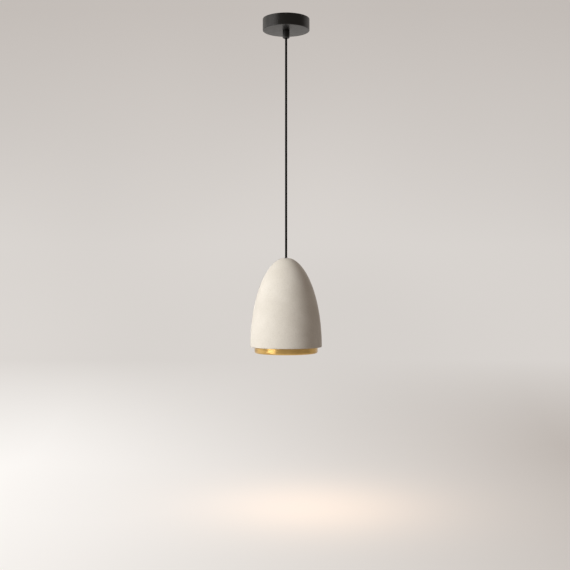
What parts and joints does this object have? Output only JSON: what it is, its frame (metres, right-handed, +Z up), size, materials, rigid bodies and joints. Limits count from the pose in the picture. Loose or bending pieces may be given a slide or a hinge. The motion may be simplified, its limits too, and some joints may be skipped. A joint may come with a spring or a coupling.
{
  "type": "pendant ceiling light",
  "caption": "Pendant ceiling light: round black ceiling cup, cylindrical cord grip, straight black cord and a tall matte mineral dome shade with a brushed brass liner and an E27 bulb",
  "frame": {"origin": "the middle of the ceiling plane, where the bracket's feet touch it", "axes": "+Z up along the cord's axis, +X along the bracket from one foot to the other, +Y to the back, where the terminal block is"},
  "size_m": [0.1526, 0.1526, 0.7133],
  "materials": {
    "black_paint": "satin black powder coat",
    "black_nylon": "moulded, satin",
    "cord_sheath": "braided black textile over a round flexible cord",
    "shade_mineral": "matte off-white, finely speckled",
    "brass": "brushed around the axis, clear coated",
    "brass_inner": "plain, stamped",
    "zinc_steel": "zinc plated",
    "terminal_plastic": "natural nylon",
    "holder_plastic": "moulded, satin",
    "ceramic": "steatite, unglazed",
    "rubber": "matte",
    "core_brown": "extruded insulation",
    "core_blue": "extruded insulation",
    "core_green": "extruded insulation, green and yellow",
    "bulb_white": "moulded, satin",
    "bulb_opal": "opal diffuser, lit",
    "bulb_glass_black": "black vitrite",
    "board_green": "printed board"
  },
  "bodies": {
    "root": {"ceiling_bracket": "zinc_steel", "canopy_cup": "black_paint", "ceiling_nipple": "zinc_steel", "nipple_top_nut": "zinc_steel", "toothed_washer": "zinc_steel", "nipple_lock_nut": "zinc_steel", "cord_grip_body": "black_nylon", "cord_grip_screw": "zinc_steel", "cord_in_grip": "cord_sheath", "terminal_block": "terminal_plastic", "terminal_block_screw": "zinc_steel", "terminal_sleeve_1": "brass_inner", "terminal_sleeve_2": "brass_inner", "terminal_screw_1": "zinc_steel", "terminal_screw_2": "zinc_steel", "terminal_screw_3": "zinc_steel", "terminal_screw_4": "zinc_steel", "earth_screw": "brass_inner", "earth_washer": "brass_inner", "core_live_top": "core_brown", "core_neutral_top": "core_blue", "core_earth_top": "core_green"},
    "cord_top_bend": {"cord_top_bend": "cord_sheath"},
    "cord": {"cord_upper": "cord_sheath"},
    "cord_end": {"cord_lower": "cord_sheath"},
    "cord_shade_bend": {"cord_shade_bend": "cord_sheath"},
    "shade": {"cord_bushing": "rubber", "shade_shell": "shade_mineral", "seat_washer": "rubber", "support_disc": "zinc_steel", "disc_nut": "zinc_steel", "shade_nipple": "zinc_steel", "lampholder_cap": "holder_plastic", "lampholder_body": "holder_plastic", "contact_carrier": "ceramic", "holder_terminal_screw_1": "brass_inner", "holder_terminal_screw_2": "brass_inner", "screw_shell": "brass_inner", "centre_contact": "brass_inner", "strain_relief_collar": "black_nylon", "strain_relief_screw": "zinc_steel", "cord_in_shade": "cord_sheath", "core_live_bottom": "core_brown", "core_neutral_bottom": "core_blue", "core_earth_bottom": "core_green", "holder_earth_screw": "brass_inner", "brass_liner": "brass", "upper_shade_ring": "holder_plastic", "lower_shade_ring": "holder_plastic"},
    "bulb_lead": {"bulb_contact": "zinc_steel"},
    "bulb": {"bulb_insulator": "bulb_glass_black", "bulb_cap": "zinc_steel", "bulb_housing": "bulb_white", "bulb_driver_board": "board_green", "bulb_led_board": "ceramic", "bulb_diffuser": "bulb_opal"}
  },
  "joints": [
    {"name": "swing_x", "type": "hinge", "parent": "root", "child": "cord_top_bend", "pos_m": [0, 0, -0.045], "axis": [1, 0, 0], "range_deg": [-30, 30]},
    {"name": "swing_y", "type": "hinge", "parent": "cord_top_bend", "child": "cord", "pos_m": [0, 0, -0.055], "axis": [0, 1, 0], "range_deg": [-30, 30]},
    {"name": "cord_twist", "type": "hinge", "parent": "cord", "child": "cord_end", "pos_m": [0, 0, -0.44], "axis": [0, 0, 1], "range_deg": [-180, 180]},
    {"name": "tilt_x", "type": "hinge", "parent": "cord_end", "child": "cord_shade_bend", "pos_m": [0, 0, -0.4963], "axis": [1, 0, 0], "range_deg": [-25, 25]},
    {"name": "tilt_y", "type": "hinge", "parent": "cord_shade_bend", "child": "shade", "pos_m": [0, 0, -0.5063], "axis": [0, 1, 0], "range_deg": [-25, 25]},
    {"name": "bulb_turn", "type": "hinge", "parent": "bulb_lead", "child": "bulb", "pos_m": [0, 0, -0.5746], "axis": [0, 0, -1], "range_deg": [0, 1440]},
    {"name": "bulb_travel", "type": "slide", "parent": "shade", "child": "bulb_lead", "axis": [0, 0, -1], "range_m": [0, 0.01448]}
  ],
  "couplings": [
    {"joint": "bulb_turn", "follows": "bulb_travel", "rad_per_m": 1735.7}
  ]
}
